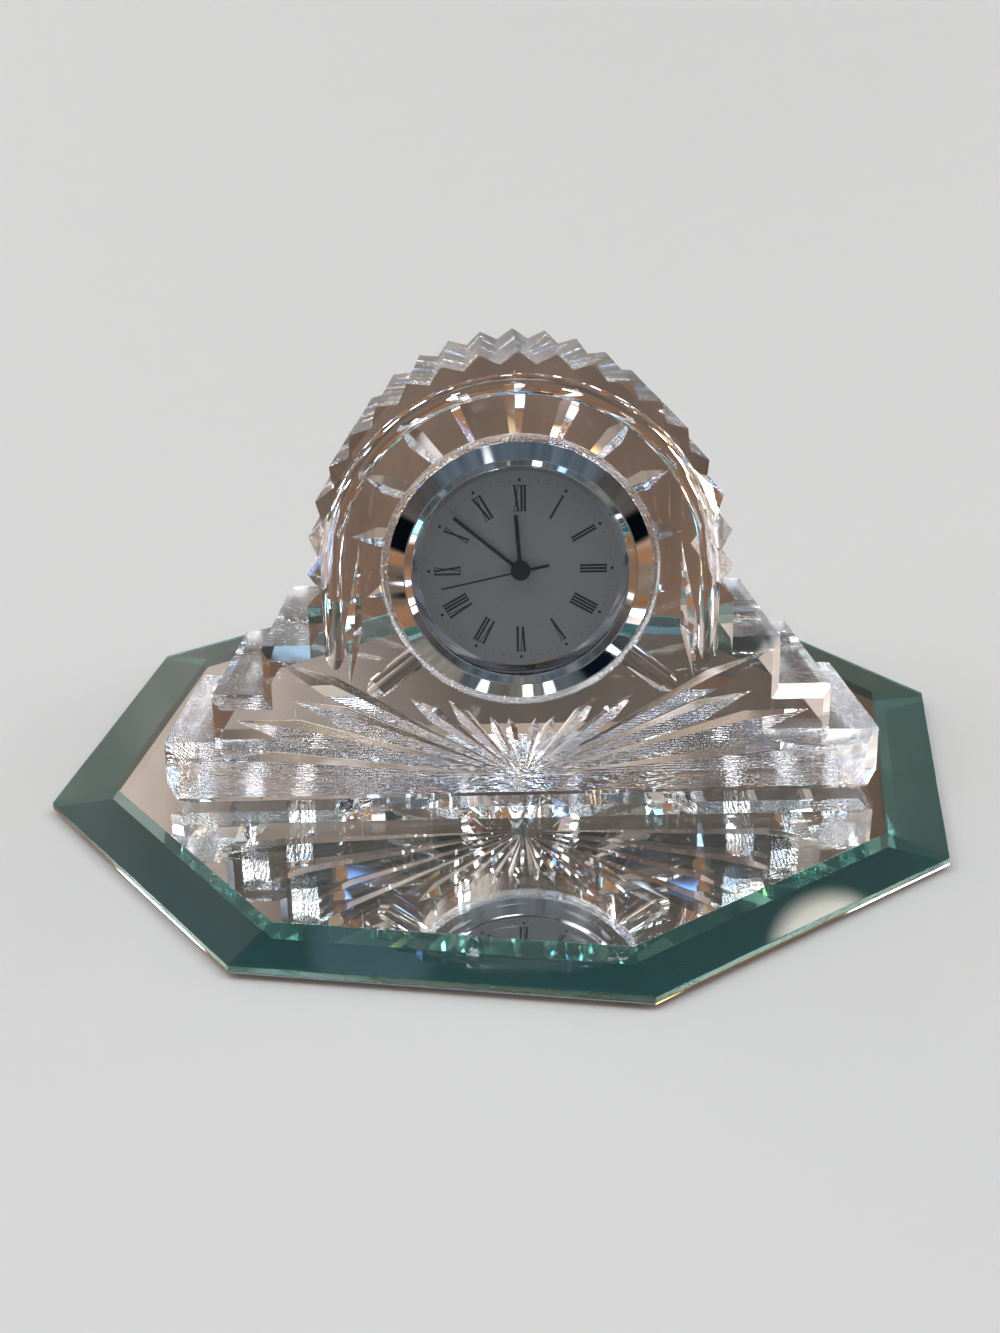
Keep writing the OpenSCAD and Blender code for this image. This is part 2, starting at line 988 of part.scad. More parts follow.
module quartz_can() {
    color(steel_c)
        dial_frame()
            translate([-4, 7, -bridge_back - 0.6 - 1.02])
                rotate([0, -90, 0])
                    cylinder(r = 1, h = 6);
}

module battery_holder() {
    color(white_c)
        dial_frame()
            slab(bridge_back, cell_back - 0.5)
                at(cell_at)
                    difference() {
                        ring_shape(holder_r, cell_d / 2 + 0.08);
                        rotate(60)
                            translate([0, -1.6])
                                square([holder_r + 1, 3.2]);
                    }
}

module battery() {
    color(steel_c)
        dial_frame()
            at(cell_at) {
                slab(cell_front, cell_back - 0.3)
                    circle(cell_d / 2);
                slab(cell_back - 0.3, cell_back)
                    circle(cell_d / 2 - 0.5);
            }
}

// Negative leaf under the cell and positive clip up its side through the holder's gap
module battery_contacts() {
    color(brass_c)
        dial_frame()
            at(cell_at) {
                slab(bridge_back, cell_front)
                    square([3, 8], center = true);
                slab(bridge_back, cell_back)
                    rotate(60)
                        translate([cell_d / 2 + 0.1, -1.4])
                            square([0.3, 2.8]);
            }
}

module bridge_screws() {
    color(steel_c)
        dial_frame()
            for (a = lug_angles)
                at(polar(lug_r, a)) {
                    slab(plate_front + 0.2, bridge_back)
                        circle(screw_r);
                    difference() {
                        slab(bridge_back, bridge_back + 0.6)
                            circle(0.95);
                        slab(bridge_back + 0.35, bridge_back + 1)
                            square([2, 0.25], center = true);
                    }
                }
}

module rear_cover() {
    color(black_c)
        dial_frame()
            slab(cover_front, cup_back)
                difference() {
                    circle(cup_in - 0.05);
                    at(cell_at)
                        circle(hatch_r + slack);
                    at(setting_at)
                        circle(setting_r + running);
                }
}

module battery_hatch() {
    color(black_c)
        dial_frame()
            at(cell_at)
                difference() {
                    slab(cover_front, cup_back + 0.3)
                        circle(hatch_r);
                    slab(cup_back - 0.3, cup_back + 1)
                        square([7, 1.2], center = true);
                }
}

mirror_glass();
silver_coat();
felt_backing();
crystal_body();
bezel();
lens();
lens_gasket();
dial_ring();
dial();
case_cup();
seat_gasket();
movement_ring();
main_plate();
train_bridge();
stator();
coil_core();
coil();
circuit_board();
quartz_can();
battery_holder();
battery_contacts();
battery();
bridge_screws();
rear_cover();
battery_hatch();
hour_hand();
hour_wheel();
minute_hand();
cannon_pinion();
minute_wheel();
second_hand();
fourth_wheel();
third_wheel();
centre_wheel();
fifth_wheel();
rotor();
setting_knob();
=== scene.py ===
"""Cut-crystal desk clock on a bevelled mirror plinth: its finishes, dial printing, felt and studio."""
import json
import math

import bpy
from mathutils import Matrix, Vector


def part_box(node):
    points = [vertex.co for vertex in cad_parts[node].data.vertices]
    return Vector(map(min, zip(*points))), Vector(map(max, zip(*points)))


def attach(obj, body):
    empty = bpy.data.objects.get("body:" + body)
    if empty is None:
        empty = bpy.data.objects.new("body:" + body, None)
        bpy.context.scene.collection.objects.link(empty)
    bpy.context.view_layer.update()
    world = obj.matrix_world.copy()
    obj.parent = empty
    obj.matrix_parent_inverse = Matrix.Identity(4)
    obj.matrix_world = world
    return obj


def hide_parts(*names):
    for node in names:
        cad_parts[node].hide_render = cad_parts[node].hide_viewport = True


bl_info = {
    "name": "Crystal Desk Clock",
    "version": (1, 0, 0),
    "blender": (4, 5, 0),
    "location": "3D View > Sidebar > Clock",
    "description": "Finishes a cut-crystal desk clock and sets up its studio",
    "category": "Object",
}

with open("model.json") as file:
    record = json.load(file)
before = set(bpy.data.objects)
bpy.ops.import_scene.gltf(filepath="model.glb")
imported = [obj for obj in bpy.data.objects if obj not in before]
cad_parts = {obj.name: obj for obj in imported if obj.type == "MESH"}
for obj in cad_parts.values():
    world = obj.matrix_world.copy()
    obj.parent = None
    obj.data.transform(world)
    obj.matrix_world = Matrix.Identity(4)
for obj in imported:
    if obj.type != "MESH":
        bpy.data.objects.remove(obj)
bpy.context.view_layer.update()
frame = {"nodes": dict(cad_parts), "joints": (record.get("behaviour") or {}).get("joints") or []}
NODES = frame["nodes"]
JOINTS = {joint["name"]: joint for joint in frame["joints"]}
MM = 0.001

# Where the dial is: the hands turn about this point, and the joint lies this far behind the block's face.
HAND_JOINT_DEPTH = 3 * MM
INWARD = Vector(JOINTS["minute_turn"]["axis"]).normalized()
FACE_CENTRE = Vector(JOINTS["minute_turn"]["pos_m"]) - INWARD * HAND_JOINT_DEPTH

# How far the dial's front lies behind the block's face, and how thick the printing on it is
DIAL_DEPTH = 2.4 * MM
PRINT_T = 0.02 * MM
# The plinth's turn about its middle, and half the felt's width across its flats
PLINTH_TURN = math.radians(-9.5)
FELT_HALF = 87.4 * MM
FELT_EDGE = 0.25 * MM
HALF_CORNER = math.radians(22.5)
# Polished rounds on the edges of the mirror plate and of the bezel
PLATE_EDGE = 0.12 * MM
BEZEL_EDGE = 0.06 * MM
BEZEL_STEPS = 160
# A face this level is flat, and one less level than the second value is upright (the z of its normal)
FLAT, UPRIGHT = 0.995, 0.3
# Share of the light that goes straight through the bevels' glass; the rest is scattered back as a painted sea-green
# glow
BEVEL_CLEARNESS = 0.92
# The ground seat round the bezel: its radius and its depth behind the block's face
SEAT_RADIUS = 26.8 * MM
SEAT_DEPTH = 3.4 * MM
# Indices of refraction
CRYSTAL_IOR, FLOAT_IOR, LENS_IOR = 1.56, 1.52, 1.5
# Section of the bezel: radius and height above the block's face, in millimetres
BEZEL_SECTION = ((22.0, -3.2), (25.4, -3.2), (25.4, -0.2), (22.4, 1.2), (22.15, 1.15), (21.0, 0.42), (20.7, 0.35),
                 (20.7, 0.3), (22.0, 0.3))
NUMERALS = ("XII", "I", "II", "III", "IIII", "V", "VI", "VII", "VIII", "IX", "X", "XI")

# The camera, fitted to the block's edges and the mirror's corners: place in mm, yaw, pitch and roll in degrees,
# and a focal length in pixels of an image this high
CAMERA_PLACE = (-6.805, -335.823, 173.233)
CAMERA_TURN = (0.785, 24.345, -0.857)
FOCAL_PX, IMAGE_HEIGHT, SENSOR_MM = 1750.0, 1333.0, 36.0
FLOOR_SIZE = 24.0


def face_matrix(depth):
    """The face of the clock as a plane: x to the right, y up the dial, z towards the viewer."""
    right = Vector((1, 0, 0))
    out = -INWARD
    up = out.cross(right)
    place = Matrix((right, up, out)).transposed().to_4x4()
    place.translation = FACE_CENTRE + INWARD * depth
    return place


def linear(hex_colour):
    """An sRGB hex colour as linear red, green, blue and alpha."""
    parts = [int(hex_colour[i:i + 2], 16) / 255 for i in (1, 3, 5)]
    return tuple(c / 12.92 if c <= 0.04045 else ((c + 0.055) / 1.055) ** 2.4 for c in parts) + (1.0,)


def per_mm(size):
    """The scale of a pattern whose parts are size millimetres across."""
    return 1000 / size


def add_node(tree, kind, sockets=None, stops=(), **settings):
    """Adds a node. sockets maps an input's name or number to a value or to the output that feeds it; stops are
    the places and sRGB hex colours of a colour ramp."""
    node = tree.nodes.new(kind)
    for name, value in settings.items():
        setattr(node, name, value)
    for name, value in (sockets or {}).items():
        if isinstance(value, bpy.types.NodeSocket):
            tree.links.new(value, node.inputs[name])
        else:
            node.inputs[name].default_value = value
    if stops:
        row = node.color_ramp.elements
        while len(row) < len(stops):
            row.new(1.0)
        for element, (place, colour) in zip(row, stops):
            element.position = place
            element.color = linear(colour)
    return node


def new_finish(name, **shader):
    """A material with one Principled shader. Returns the material, its tree, the shader and the coordinates."""
    material = bpy.data.materials.new(name)
    material.use_nodes = True
    tree = material.node_tree
    tree.nodes.clear()
    surface = add_node(tree, "ShaderNodeBsdfPrincipled", shader)
    add_node(tree, "ShaderNodeOutputMaterial", {"Surface": surface.outputs[0]})
    where = add_node(tree, "ShaderNodeTexCoord").outputs["Object"]
    return material, tree, surface, where


def show(tree, surface, pattern, colours=(), roughness=(), relief_mm=0.0):
    """Lets a pattern show on a finish: in its colour, in its roughness and in how high its grain stands."""
    if colours:
        shades = add_node(tree, "ShaderNodeValToRGB", {0: pattern}, stops=colours)
        tree.links.new(shades.outputs["Color"], surface.inputs["Base Color"])
    if roughness:
        low, high = roughness
        sheen = add_node(tree, "ShaderNodeMapRange", {0: pattern, 3: low, 4: high})
        tree.links.new(sheen.outputs[0], surface.inputs["Roughness"])
    if relief_mm:
        grain = add_node(tree, "ShaderNodeBump", {"Height": pattern, "Distance": relief_mm * MM, "Strength": 1.0})
        tree.links.new(grain.outputs[0], surface.inputs["Normal"])


def give(material, *names):
    """Assigns a finish to CAD nodes, by their own material slots."""
    for name in names:
        for slot in NODES[name].material_slots:
            slot.material = material


def deselect():
    """Nothing selected and nothing in edit mode."""
    if bpy.context.mode != "OBJECT":
        bpy.ops.object.mode_set(mode="OBJECT")
    bpy.ops.object.select_all(action="DESELECT")


def choose(piece):
    """Makes a piece the only one selected."""
    deselect()
    piece.select_set(True)
    bpy.context.view_layer.objects.active = piece


def solid_copy(node, name):
    """A copy of a CAD node's shape as one closed mesh, with whole faces instead of triangles."""
    piece = bpy.data.objects.new(name, NODES[node].data.copy())
    bpy.context.scene.collection.objects.link(piece)
    piece.data.materials.clear()
    choose(piece)
    bpy.ops.mesh.customdata_custom_splitnormals_clear()
    bpy.ops.object.mode_set(mode="EDIT")
    bpy.ops.mesh.select_all(action="SELECT")
    bpy.ops.mesh.remove_doubles(threshold=0.002 * MM)
    bpy.ops.mesh.dissolve_limited(angle_limit=math.radians(0.4))
    bpy.ops.object.mode_set(mode="OBJECT")
    return piece


def soften(piece, width, angle=20.0, smooth=32.0):
    """Polishes the edges sharper than angle to a small round, and keeps the large faces flat between them."""
    choose(piece)
    bpy.ops.object.shade_smooth_by_angle(angle=math.radians(smooth))
    edge = piece.modifiers.new("edge", "BEVEL")
    edge.width = width
    edge.segments = 2
    edge.limit_method = "ANGLE"
    edge.angle_limit = math.radians(angle)
    edge.use_clamp_overlap = True
    bpy.ops.object.modifier_apply(modifier=edge.name)
    bpy.ops.object.shade_smooth_by_angle(angle=math.radians(smooth))
    flat = piece.modifiers.new("flat", "WEIGHTED_NORMAL")
    flat.mode = "FACE_AREA"
    flat.weight = 100
    flat.keep_sharp = True
    bpy.ops.object.modifier_apply(modifier=flat.name)


# The room round the clock, painted in this order: azimuth (0 towards the viewer, 90 to the right), elevation,
# radius and soft edge in degrees, then a colour and its strength.
ROOM = (
    (180, 25, 50, 18, "#64574E", 1.0), (-152, 17, 20, 8, "#E2CDC2", 1.0), (155, 14, 14, 6, "#7E5F4B", 1.0),
    (180, 64, 20, 4, "#3A3B38", 1.0), (180, 0, 6, 3, "#CDB8A4", 0.7),
    (0, 32, 32, 6, "#66727C", 1.0), (0, -18, 36, 10, "#7C7F82", 1.0), (0, 58, 10, 4, "#8F887C", 1.0),
    (0, 84, 11, 2, "#3A1A1A", 1.0), (-42, 48, 9, 3, "#A39A8C", 1.0),
    (-45, 2, 8, 1, "#070C12", 1.0), (45, 2, 9, 1, "#060A10", 1.0), (42, 48, 8, 1.5, "#0B1622", 1.0),
    (-49, -17, 8, 1, "#8C7C68", 1.0), (49, -17, 8, 1, "#8C7C68", 1.0),
    (-49, -14, 2.5, 0.5, "#2A2019", 1.0), (49, -13, 2.5, 0.5, "#2A2019", 1.0),
    (-50, -21, 2, 0.5, "#2A2019", 1.0), (50, -21, 2, 0.5, "#2A2019", 1.0),
)
# Soft boxes: azimuth, elevation and radius in degrees, and a share of the strength
LAMPS = (
    (-75, 48, 9, 1.0), (78, 46, 9, 1.0), (-62, 74, 8, 0.9), (100, 70, 7, 0.8), (-110, 66, 7, 0.8),
    (-95, 12, 6, 0.6), (98, 10, 6, 0.6), (64, 66, 4, 0.8), (-14, 38, 2, 0.5), (118, 34, 4, 0.7),
    (-118, 40, 4, 0.7), (150, 58, 3, 0.5), (60, -35, 6, 0.25), (-60, -38, 6, 0.25),
)
# Places kept free of the small sparkling lamps: azimuth, elevation and radius in degrees
CALM = ((180, 24, 27), (180, -24, 22), (0, 8, 56))


def lift_foot(piece, gap):
    """Raises the bottom of a piece by the hair of air or paint between it and what it lies on."""
    foot = min(v.co.z for v in piece.data.vertices)
    for vertex in piece.data.vertices:
        if vertex.co.z < foot + 0.02 * MM:
            vertex.co.z += gap


class ClockLook(bpy.types.PropertyGroup):
    """Colours and sizes of the clock that a user would change."""

    crystal_tint: bpy.props.StringProperty(
        name="Crystal tint", description="Colour of the lead crystal", default="#FAFBFD")
    felt_colour: bpy.props.StringProperty(
        name="Felt", description="Colour of the felt under the plinth", default="#1C4A36")
    stroke: bpy.props.FloatProperty(
        name="Numeral stroke", description="Width of a numeral's thick stroke",
        default=0.42 * MM, unit="LENGTH")
    pitch: bpy.props.FloatProperty(
        name="Numeral pitch", description="Distance between a numeral's strokes",
        default=0.63 * MM, unit="LENGTH")
    numeral_foot: bpy.props.FloatProperty(
        name="Numeral foot radius", description="Radius on which the numerals stand",
        default=11.5 * MM, unit="LENGTH")
    numeral_height: bpy.props.FloatProperty(
        name="Numeral height", description="Height of the numerals", default=5.1 * MM, unit="LENGTH")
    track_radius: bpy.props.FloatProperty(
        name="Minute track radius", description="Radius of the ring of dots",
        default=17.64 * MM, unit="LENGTH")
    hour_dot: bpy.props.FloatProperty(
        name="Hour dot", description="Radius of the dot at each hour", default=0.3 * MM, unit="LENGTH")
    minute_dot: bpy.props.FloatProperty(
        name="Minute dot", description="Radius of the dots between the hours", default=0.11 * MM, unit="LENGTH")
    edge_round: bpy.props.FloatProperty(
        name="Crystal edge", description="Polished round on the crystal's edges", default=0.16 * MM,
        unit="LENGTH")
    foot_gap: bpy.props.FloatProperty(
        name="Gap under the crystal", description="Air between the crystal's foot and the mirror",
        default=0.03 * MM, unit="LENGTH")
    rib_pitch: bpy.props.FloatProperty(
        name="Wheel ribs", description="Distance between the ribs that the wheel left on the steps and teeth",
        default=0.95 * MM, unit="LENGTH")
    glass_green: bpy.props.StringProperty(
        name="Glass green", description="Colour of the mirror glass, seen along its edge", default="#6FC0A8")
    # the bevels' sea-green tint is painted light: a diffuse glow standing in for the green light that the plate
    # sends out through them
    bevel_green: bpy.props.StringProperty(
        name="Bevel green", description="Tint of the mirror's bevels", default="#86CDCB")
    edge_green: bpy.props.StringProperty(
        name="Edge green", description="Colour of the ground edge of the mirror glass", default="#86C4B2")
    felt_dark: bpy.props.StringProperty(
        name="Felt shade", description="Darker colour among the felt's fibres", default="#0F2E21")


class ClockStudio(bpy.types.PropertyGroup):
    """The studio round the clock."""

    floor_colour: bpy.props.StringProperty(
        name="Floor", description="Colour of the floor", default="#D0CFCB")
    backdrop_colour: bpy.props.StringProperty(
        name="Backdrop", description="Colour beyond the floor, seen straight from the camera", default="#DCDCDA")
    lamp_strength: bpy.props.FloatProperty(
        name="Soft boxes", description="Strength of the soft boxes in the surroundings", default=5.5)
    spot_density: bpy.props.FloatProperty(
        name="Spotlights", description="How closely the small spotlights stand", default=8.5)
    spot_strength: bpy.props.FloatProperty(
        name="Spotlight strength", description="Strength of the brightest small spotlights", default=20.0)


class CLOCK_OT_crystal(bpy.types.Operator):
    """The block of cut and polished lead crystal"""
    bl_idname = "clock.crystal"
    bl_label = "Crystal block"

    def execute(self, context):
        look = context.scene.clock_look
        block = solid_copy("crystal_body", "crystal_block")
        soften(block, look.edge_round)
        lift_foot(block, look.foot_gap)
        block.data.materials.append(self.polished_crystal(look))
        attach(block, "crystal")
        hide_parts("crystal_body")
        return {"FINISHED"}

    def polished_crystal(self, look):
        """Lead crystal, cut and acid-polished: clear and bright, its faces faintly wavy, with fine ribs left by
        the wheel across the teeth and the tops of the steps, and a sparkling ground seat round the bezel."""
        crystal, tree, surface, where = new_finish(
            "cut lead crystal", **{"Roughness": 0.0, "IOR": CRYSTAL_IOR, "Transmission Weight": 1.0})
        surface.inputs["Base Color"].default_value = linear(look.crystal_tint)
        # how deep a point lies behind the face, and how far from the dial's axis
        local = add_node(tree, "ShaderNodeVectorMath", {0: where, 1: tuple(FACE_CENTRE)},
                         operation="SUBTRACT").outputs[0]
        depth = add_node(tree, "ShaderNodeVectorMath", {0: local, 1: tuple(INWARD)},
                         operation="DOT_PRODUCT").outputs["Value"]
        off_axis = add_node(tree, "ShaderNodeVectorMath", {0: local, 1: tuple(INWARD)},
                            operation="CROSS_PRODUCT").outputs[0]
        radius = add_node(tree, "ShaderNodeVectorMath", {0: off_axis}, operation="LENGTH").outputs["Value"]
        # ribs only where a face looks upward and stands square to the front, and a little uneven
        normal = add_node(tree, "ShaderNodeNewGeometry").outputs["True Normal"]
        upward = add_node(tree, "ShaderNodeSeparateXYZ", {0: normal}).outputs[2]
        level = add_node(tree, "ShaderNodeMapRange", {0: upward, 1: 0.3, 2: 0.45}).outputs[0]
        facing = add_node(tree, "ShaderNodeVectorMath", {0: normal, 1: tuple(INWARD)},
                          operation="DOT_PRODUCT").outputs["Value"]
        square = add_node(tree, "ShaderNodeMath", {0: facing, 1: 0.0, 2: 0.12}, operation="COMPARE").outputs[0]
        ribbed = add_node(tree, "ShaderNodeMath", {0: level, 1: square}, operation="MULTIPLY").outputs[0]
        ripple = add_node(tree, "ShaderNodeMath", {0: depth, 1: 2 * math.pi / look.rib_pitch}, operation="MULTIPLY")
        uneven = add_node(tree, "ShaderNodeTexNoise", {"Vector": where, "Scale": per_mm(2.2), "Detail": 2.0})
        wobble = add_node(tree, "ShaderNodeMath", {0: uneven.outputs[0], 1: 9.0}, operation="MULTIPLY")
        phase = add_node(tree, "ShaderNodeMath", {0: ripple.outputs[0], 1: wobble.outputs[0]})
        ribs = add_node(tree, "ShaderNodeMath", {0: phase.outputs[0]}, operation="SINE")
        rib_height = add_node(tree, "ShaderNodeMath", {0: ribs.outputs[0], 1: ribbed}, operation="MULTIPLY")
        bump_ribs = add_node(tree, "ShaderNodeBump", {"Height": rib_height.outputs[0], "Distance": 0.022 * MM})
        swell = add_node(tree, "ShaderNodeTexNoise", {"Vector": where, "Scale": per_mm(6.0), "Detail": 1.0})
        waves = add_node(tree, "ShaderNodeBump", {"Height": swell.outputs[0], "Distance": 0.014 * MM,
                                                  "Normal": bump_ribs.outputs[0]})
        # the ground seat's grit, drawn coarser than it is so that it shows
        near = add_node(tree, "ShaderNodeMath", {0: radius, 1: SEAT_RADIUS}, operation="LESS_THAN")
        shallow = add_node(tree, "ShaderNodeMath", {0: depth, 1: SEAT_DEPTH}, operation="LESS_THAN")
        seat = add_node(tree, "ShaderNodeMath", {0: near.outputs[0], 1: shallow.outputs[0]}, operation="MULTIPLY")
        grain = add_node(tree, "ShaderNodeTexVoronoi", {"Vector": where, "Scale": per_mm(0.55)})
        grit = add_node(tree, "ShaderNodeMath", {0: grain.outputs["Distance"], 1: seat.outputs[0]},
                        operation="MULTIPLY")
        ground = add_node(tree, "ShaderNodeBump", {"Height": grit.outputs[0], "Distance": 0.25 * MM,
                                                   "Normal": waves.outputs[0]})
        tree.links.new(ground.outputs[0], surface.inputs["Normal"])
        return crystal


class CLOCK_OT_plinth(bpy.types.Operator):
    """The bevelled mirror plate and its felt"""
    bl_idname = "clock.plinth"
    bl_label = "Mirror plinth"

    def execute(self, context):
        look = context.scene.clock_look
        plate = solid_copy("mirror_glass", "mirror_plate")
        soften(plate, PLATE_EDGE, angle=4.0)
        lift_foot(plate, look.foot_gap)
        silver = self.silvering()
        for finish in (self.float_glass(look, "bevelled float glass", "#FFFFFF", 1.0), silver,
                       self.ground_edge(look),
                       # the bevels: float glass with a painted sea-green glow for the light that the plate sends out
                       # through them
                       self.float_glass(look, "bevel glass with painted green light", look.bevel_green, BEVEL_CLEARNESS)):
            plate.data.materials.append(finish)
        front, back, edge, bevel = range(4)
        foot = min(v.co.z for v in plate.data.vertices)
        for face in plate.data.polygons:
            face.material_index = front
            if face.normal.z < -FLAT and face.center.z < foot + 0.01 * MM:
                face.material_index = back
            elif abs(face.normal.z) < UPRIGHT:
                face.material_index = edge
            elif UPRIGHT < face.normal.z < FLAT:
                face.material_index = bevel
        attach(plate, "plinth")
        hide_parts("mirror_glass")
        give(silver, "silver_coat")
        self.felt(look)
        return {"FINISHED"}

    def float_glass(self, look, name, tint, clearness):
        """Float glass: clear through its face, sea green where the eye looks along it, with faint polishing
        scratches. On the bevels a share of the light is scattered in a diffuse sea-green tint: painted light,
        standing in for the green light that they gather in the plate."""
        glass, tree, surface, where = new_finish(
            name, **{"Roughness": 0.0, "IOR": FLOAT_IOR, "Transmission Weight": clearness})
        surface.inputs["Base Color"].default_value = linear(tint)
        green = add_node(tree, "ShaderNodeVolumeAbsorption", {"Density": 12.0})
        green.inputs["Color"].default_value = linear(look.glass_green)
        out = next(n for n in tree.nodes if n.type == "OUTPUT_MATERIAL")
        tree.links.new(green.outputs[0], out.inputs["Volume"])
        # scratches about 3 mm long and 0.4 mm apart
        stretch = add_node(tree, "ShaderNodeMapping", {"Vector": where, "Scale": (300, 2500, 300)})
        stretch.inputs["Rotation"].default_value = (0, 0, math.radians(35))
        scratches = add_node(tree, "ShaderNodeTexNoise", {"Vector": stretch.outputs[0], "Scale": 1.0, "Detail": 2.0})
        fine = add_node(tree, "ShaderNodeMapRange", {0: scratches.outputs[0], 1: 0.66, 2: 0.8, 4: 0.12}).outputs[0]
        tree.links.new(fine, surface.inputs["Roughness"])
        return glass

    def ground_edge(self, look):
        """The outer edge of the glass, ground and half polished: it lets light in, sea green from the depth of
        the plate behind it."""
        edge, tree, surface, where = new_finish(
            "ground glass edge", **{"IOR": FLOAT_IOR, "Transmission Weight": 1.0})
        along = add_node(tree, "ShaderNodeMapping", {"Vector": where, "Scale": (90, 90, 900)})
        depths = add_node(tree, "ShaderNodeTexNoise", {"Vector": along.outputs[0], "Scale": 1.0}).outputs[0]
        show(tree, surface, depths, colours=((0.3, look.edge_green), (0.7, "#C4ECE0")), roughness=(0.18, 0.4))
        return edge

    def silvering(self):
        """Silver laid on the back of the glass: an even bright mirror, slightly cloudy in patches."""
        silver, tree, surface, where = new_finish("mirror silvering", Metallic=1.0)
        surface.inputs["Base Color"].default_value = linear("#F9FAFA")
        patches = add_node(tree, "ShaderNodeTexNoise", {"Vector": where, "Scale": per_mm(18), "Detail": 3.0})
        show(tree, surface, patches.outputs[0], roughness=(0.0, 0.03))
        return silver

    def felt(self, look):
        """Thin wool felt stuck under the mirror, with a soft napped edge."""
        low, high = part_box("felt_backing")
        centre, across = (low + high) / 2, 2 * FELT_HALF
        deselect()
        bpy.ops.mesh.primitive_cylinder_add(
            vertices=8, radius=FELT_HALF / math.cos(HALF_CORNER), depth=high.z - low.z,
            location=(0, 0, 0))
        felt = bpy.context.active_object
        felt.name = "felt_pad"
        bpy.ops.object.mode_set(mode="EDIT")
        bpy.ops.mesh.select_all(action="SELECT")
        bpy.ops.mesh.bevel(offset=FELT_EDGE, segments=2, affect="EDGES")
        bpy.ops.object.mode_set(mode="OBJECT")
        felt.data.transform(Matrix.Translation(centre) @ Matrix.Rotation(PLINTH_TURN, 4, "Z")
                            @ Matrix.Rotation(HALF_CORNER, 4, "Z"))
        bpy.ops.object.shade_smooth_by_angle(angle=math.radians(50))
        wool, tree, surface, where = new_finish(
            "wool felt", **{"Roughness": 0.95, "Sheen Weight": 0.6, "Sheen Roughness": 0.5})
        fibres = add_node(tree, "ShaderNodeTexNoise", {"Vector": where, "Scale": per_mm(0.5), "Detail": 6.0})
        show(tree, surface, fibres.outputs[0], colours=((0.3, look.felt_dark), (0.7, look.felt_colour)),
             relief_mm=0.15)
        felt.data.materials.append(wool)
        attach(felt, "plinth")
        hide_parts("felt_backing")


